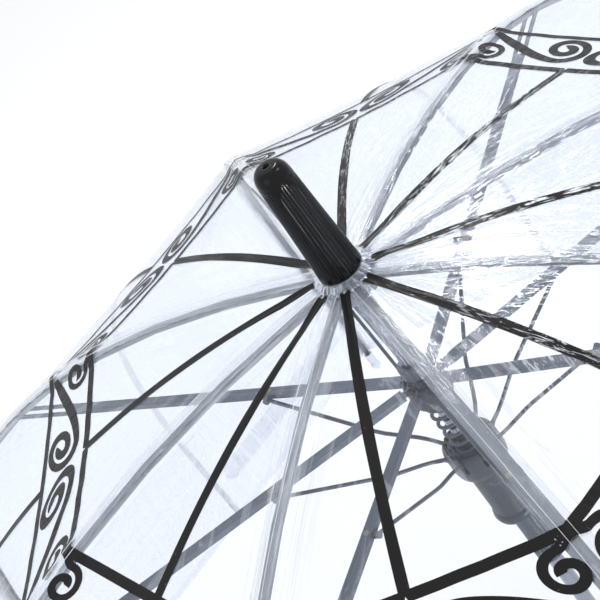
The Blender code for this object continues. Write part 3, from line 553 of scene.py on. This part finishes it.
def print_strokes():
    """Every stroke of one sector's print."""
    strokes = []
    for sign in (1, -1):
        for a, b in ((FILM_START + 0.0006, BAND[0]), (BAND[1], HEM)):
            along = [a + (b - a) * i / 90 for i in range(91)]
            wide = [0.5 * BAR * (0.86 + 0.14 * min(1.0, s / 0.05) + 0.03 * math.sin(90 * s)) for s in along]
            strokes.append(([(s, sign * (half_width(s) - w / 2)) for s, w in zip(along, wide)], wide))
        for at, wide in zip(BAND, (INNER_LINE, OUTER_LINE)):
            line = [(at, sign * half_width(at) * i / 60) for i in range(61)]
            strokes.append(([(s, u or sign * 1e-9) for s, u in line], wide))
        strokes += scroll(sign)
    return strokes


# ---- the canopy, sector by sector ----
ALONG = [FILM_START + (HEM - FILM_START) * (i / 120) ** 1.15 for i in range(121)]
ACROSS = [i / 22 for i in range(-22, 23)]
STROKES = print_strokes()


def grid(rows, columns, first=0):
    return [
        (q, q + columns, q + columns + 1, q + 1)
        for q in (first + i * columns + j for i in range(rows - 1) for j in range(columns - 1))
    ]


def film_piece(k):
    verts = [film(k, s, t * half_width(s)) for s in ALONG for t in ACROSS]
    at = [(s, t * half_width(s), k * 3.0) for s in ALONG for t in ACROSS]
    faces = grid(len(ALONG), len(ACROSS))
    o = piece(f"film_{k + 1}", verts, faces, FILM, f"rib_body_{k + 1}", at)
    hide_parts(f"canopy_{k + 1}")
    draw_in(o)
    return o


def weld_piece(k):
    """The rucked weld along the rib with its two pressed lines, and the folded hem."""
    verts, at = [], []
    for s in ALONG:
        for j, u in enumerate(WELD_ROWS):
            u *= min(1.0, 0.9 * half_width(s) / WELD_ROWS[-1])
            ruck = 0.00022 * math.sin(260 * s + 3 * j + k) + 0.0002 * math.sin(611 * s + j)
            verts.append(film(k, s, u or 1e-9, WELD_LIFT + ruck * (0.3 + abs(j - 4) / 4)))
            at.append((s, u, k * 3.0 + 50))
    faces = grid(len(ALONG), len(WELD_ROWS))
    looks = [0] * len(faces)
    for side in (-1, 1):
        first = len(verts)
        for s in ALONG:
            middle = side * (LINE_AT + 0.00012 * math.sin(140 * s + k)) * min(1.0, half_width(s) / 0.006)
            for u in (middle - LINE_HALF, middle, middle + LINE_HALF):
                verts.append(film(k, s, u, LINE_TOP if u == middle else LINE_FOOT))
                at.append((s, u, k * 3.0 + 51))
        line = grid(len(ALONG), 3, first)
        faces += line
        looks += [1] * len(line)
    first = len(verts)
    for s, lift in (
        (HEM - 0.0065, 0.0002), (HEM - 0.006, 0.0005), (HEM - 0.001, 0.0005), (HEM + 0.0003, 0.0),
    ):
        for t in ACROSS:
            verts.append(film(k, s, t * half_width(s), lift))
            at.append((s * 0.3, t * half_width(s), k * 3.0 + 52))
    hem = grid(4, len(ACROSS), first)
    faces += hem
    looks += [0] * len(hem)
    o = piece(f"weld_{k + 1}", verts, faces, [SEAM, LINE], f"rib_body_{k + 1}", at)
    o.data.polygons.foreach_set("material_index", looks)
    draw_in(o)
    return o


def ink_piece(k):
    verts, faces, at = [], [], []
    for pts, widths in STROKES:
        ribbon(pts, widths, k, verts, faces, at)
    o = piece(f"print_{k + 1}", verts, faces, INK, f"rib_body_{k + 1}", at)
    draw_in(o)
    return o


for k in range(SECTORS):
    sheet, weld, ink = film_piece(k), weld_piece(k), ink_piece(k)
    area = 2 * sum((b - a) * half_width((a + b) / 2) for a, b in zip(ALONG, ALONG[1:]))
    round(2 * half_width(HEM), 3)


# ---- crown: ferrule and its clear collar ----
def ferrule_profile():
    out = [(0.0090, 0.0033), (0.0099, 0.0034), (0.0102, 0.0038), (0.0101, 0.0044)]
    out += [(0.0100 - 0.0020 * t - 0.0001 * math.sin(math.pi * t), 0.0052 + 0.0510 * t)
            for t in (i / 26 for i in range(27))]
    out += [(0.0038 + 0.00415 * math.cos(a), 0.0564 + 0.0065 * math.sin(a))
            for a in (math.radians(6 * i) for i in range(1, 16))]
    out += [(0.0026, 0.0630), (0.0018, 0.06315), (0.0014, 0.0629), (0.0012, 0.0620), (0.0, 0.0617)]
    return out


def flutes(a, r, z):
    """Fine grooves down the ferrule's sides."""
    run = min(max((z - 0.0050) / 0.003, 0.0), 1.0) * min(max((0.0555 - z) / 0.004, 0.0), 1.0)
    return -0.00030 * run * (0.5 + 0.5 * math.cos(32 * a)) ** 2, 0.0


def pleats(a, r, z):
    """The soft collar is drawn into small uneven pleats towards its rim."""
    out = max(0.0, (r - 0.0098) / 0.0038)
    w = math.sin(19 * a + 0.8 * math.sin(3 * a)) + 0.6 * math.sin(31 * a + 2.0 * math.sin(5 * a))
    return 0.00045 * out * math.sin(11 * a + 1.0), 0.0005 * out * w


turned("ferrule", ferrule_profile(), GLOSS, "ferrule_cap", 288, flutes)
turned("collar", [
    (0.0060, 0.0030), (0.0094, 0.0031), (0.0104, 0.0033), (0.0112, 0.0031), (0.0120, 0.0027),
    (0.0127, 0.0021), (0.0132, 0.0015), (0.0134, 0.0011), (0.0131, 0.0009), (0.0060, 0.0010),
], SOFT, "apex_collar", 160, pleats, True)
turned("crown_film", [
    (0.0060, 0.0008), (0.0105, 0.0008), (0.0125, 0.0008), (0.0139, 0.0007), (0.0146, 0.0004),
    (0.0144, 0.0002), (0.0060, 0.0003),
], SOFT, "crown_disc", 160, pleats, True)
turned("shaft", [
    (0.0034, -0.7000), (0.0040, -0.7000), (0.0040, -0.35), (0.0040, 0.0400), (0.0034, 0.0400),
], CHROME, "shaft_tube", 64)

# ---- frame pieces: the CAD shapes with soft edges ----
for name, look in (
    ("top_notch", PALE), ("notch_wire", WIRE), ("stop_collar", STEEL), ("stretcher_hub", HUB),
    ("hub_wire", WIRE), ("runner", RUNNER), ("runner_sleeve", SLEEVE), ("runner_wire", WIRE),
    ("button_housing", BLACK), ("push_button", BUTTON),
):
    refined(name, look, 0.0 if name.endswith("wire") else 0.00025)
for n in range(1, SECTORS + 1):
    refined(f"rib_{n}", RIB, 0.00012, 40, 1)
    refined(f"rib_tip_{n}", MILKY, 0.0002, 50)
    refined(f"stretcher_{n}", STEEL, 0.00012, 40, 1)
    refined(f"wire_{n}", WIRE, 0.0, 62)
small_spring = refined("button_spring", WIRE, 0.0, 75)
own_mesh(small_spring)


def rivet(k):
    """A brass rivet on top of the stretcher, where the wire's pin comes through."""
    tilt = math.atan2(RIB_JOINT[1] - HUB_PIVOT[1], RIB_JOINT[0] - HUB_PIVOT[0])
    along, up = Vector((math.cos(tilt), 0, math.sin(tilt))), Vector((-math.sin(tilt), 0, math.cos(tilt)))
    centre = Vector((HUB_PIVOT[0], 0, HUB_PIVOT[1])) + along * RIVET_AT + up * 0.00148
    verts, faces, sides = [], [], 20
    rows = [(0.0016, 0.0), (0.0016, 0.0002), (0.0012, 0.00025),
            (0.0010, 0.0005), (0.0006, 0.0007), (0.0001, 0.00075)]
    for r, h in rows:
        for a in (2 * math.pi * i / sides for i in range(sides)):
            out = along * r * math.cos(a) + Vector((0, r * math.sin(a), 0))
            verts.append(turned_to(k, centre + out + up * h))
    for i in range(len(rows) - 1):
        for j in range(sides):
            q, m = i * sides, (j + 1) % sides
            faces.append((q + j, q + m, q + sides + m, q + sides + j))
    faces.append(tuple((len(rows) - 1) * sides + i for i in range(sides)))
    piece(f"rivet_{k + 1}", verts, faces, BRASS, f"stretcher_body_{k + 1}")


for k in range(SECTORS):
    rivet(k)


def coil():
    """The main spring, with closed end turns."""
    pts, n, ends = [], int(SPRING_TURNS * 30), 1.0 / SPRING_TURNS
    for i in range(n + 1):
        t = i / n
        if t < ends:
            rise = 0.35 * t
        elif t > 1 - ends:
            rise = 1 - 0.35 * (1 - t)
        else:
            rise = 0.35 * ends + (t - ends) / (1 - 2 * ends) * (1 - 0.7 * ends)
        a = 2 * math.pi * SPRING_TURNS * t
        h = APEX + SPRING_LOW + (SPRING_HIGH - SPRING_LOW) * rise
        pts.append(Vector((SPRING_R * math.cos(a), SPRING_R * math.sin(a), h)))
    return pts


spring = tube("spring", coil(), SPRING_WIRE, WIRE, "runner_body", 12)
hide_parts("main_spring")
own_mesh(spring)


# ---- grip ----
def grip():
    """The crook handle along its centre line: a swelled straight part, the hook and a rounded end."""
    pts, radii = [], []
    top = -0.6203
    for i in range(41):
        t = i / 40
        pts.append(Vector((0, 0, APEX + top + (BEND - top) * t)))
        swell = 0.0121 - 0.0009 * t * t + 0.0004 * math.cos(3.4 * math.pi * t)
        radii.append(swell - 0.0010 * max(0.0, 1 - t / 0.03))
    for i in range(1, 37):
        a = math.pi * i / 36
        pts.append(Vector((HOOK * (1 - math.cos(a)), 0, APEX + BEND - HOOK * math.sin(a))))
        radii.append(0.0113 - 0.0010 * i / 36)
    for i in range(1, 15):
        t = i / 14
        pts.append(Vector((2 * HOOK, 0, APEX + BEND + 0.0186 * min(1.0, t * 1.02))))
        radii.append(0.0068 + 0.0034 * math.sqrt(max(0.0, 1 - max(0.0, (t - 0.5) / 0.5) ** 2.4)))
    o = tube("grip", pts, lambda i: radii[i], BLACK, "root", 44)
    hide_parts("handle")


grip()

# ---- strap and its stud ----
def strap_piece():
    """A clear strap laid along the hem of sector 3, with pressed edges and a rounded end."""
    k, low = 2, HEM - STRAP_UP
    verts, faces, at = [], [], []
    count, rows = 90, (0.0, 0.06, 0.10, 0.16, 0.5, 0.84, 0.90, 0.94, 1.0)
    for i in range(count + 1):
        u = STRAP_FROM + STRAP_LONG * i / count
        left = min(1.0, (STRAP_FROM + STRAP_LONG - u) / (STRAP_WIDE / 2))
        pinch = 0.5 * (1 - math.sqrt(max(0.0, 1 - (1 - left) ** 2)))
        for v in rows:
            v2 = pinch + v * (1 - 2 * pinch)
            edge = 0.00035 if v in (0.10, 0.90) else 0.0
            lift = 0.0014 + edge + 0.0003 * math.sin(70 * u) * (v - 0.5)
            verts.append(film(k, low + STRAP_WIDE * v2, u, lift, False))
            at.append((u, v * STRAP_WIDE, 77.0))
    faces = grid(count + 1, len(rows))
    o = piece("strap_band", verts, faces, SOFT, "rib_body_3", at)
    mod = o.modifiers.new("thickness", "SOLIDIFY")
    mod.thickness, mod.offset = 0.0005, 0.0
    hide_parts("strap")
    draw_in(o)


strap_piece()
stud = refined("strap_snap", BLACK, 0.0006, 40, 3)
draw_in(stud)

# ---- floor, light, camera ----
bpy.ops.mesh.primitive_plane_add(size=14, location=(0, 0, CAD_BOX[0][2] - 0.002))
floor = bpy.context.object
floor.name = "floor"
pale, nt = new_material("floor_pale")
out = nt.nodes.new("ShaderNodeOutputMaterial")
p = node(nt, "ShaderNodeBsdfPrincipled", Roughness=0.6)
p.inputs["Base Color"].default_value = (0.90, 0.885, 0.87, 1)
p.inputs["Specular IOR Level"].default_value = 0.2
nt.links.new(p.outputs[0], out.inputs[0])
floor.data.materials.append(pale)

world = bpy.data.worlds.new("studio")
world.use_nodes = True
world.node_tree.nodes["Background"].inputs[0].default_value = (0.94, 0.965, 1.0, 1)
world.node_tree.nodes["Background"].inputs[1].default_value = 1.05
bpy.context.scene.world = world


def lamp(name, where, aim, size, power, colour=(1, 1, 1)):
    d = bpy.data.lights.new(name, "AREA")
    d.shape, d.size, d.energy, d.color = "DISK", size, power, colour
    o = bpy.data.objects.new(name, d)
    o.location = where
    o.rotation_euler = (Vector(aim) - Vector(where)).to_track_quat("-Z", "Y").to_euler()
    bpy.context.scene.collection.objects.link(o)


lamp("key", (1.6, -0.6, 2.4), (0, 0, 0.5), 0.8, 9)
lamp("fill", (-1.8, -1.2, 1.6), (0, 0, 0.5), 1.6, 4, (0.95, 0.97, 1.0))
lamp("low", (0.29, -1.27, 0.015), (0, 0, 0.69), 0.16, 9)
lamp("glint", (0.55, 1.42, 2.24), (0, 0, 0.66), 0.45, 12)

EYE, AIM, ROLL = Vector((-0.02747, -0.51065, 1.02314)), Vector((-0.02137, -0.00023, 0.67123)), -37.893
camera = bpy.data.objects.new("camera", bpy.data.cameras.new("camera"))
bpy.context.scene.collection.objects.link(camera)
camera.data.sensor_width, camera.data.lens = 36, 89.98
camera.data.clip_start, camera.data.clip_end = 0.01, 50
camera.matrix_world = (
    Matrix.Translation(EYE) @ (AIM - EYE).to_track_quat("-Z", "Y").to_matrix().to_4x4()
    @ Matrix.Rotation(math.radians(ROLL), 4, "Z")
)
bpy.context.scene.camera = camera
bpy.context.scene.view_settings.view_transform = "Standard"
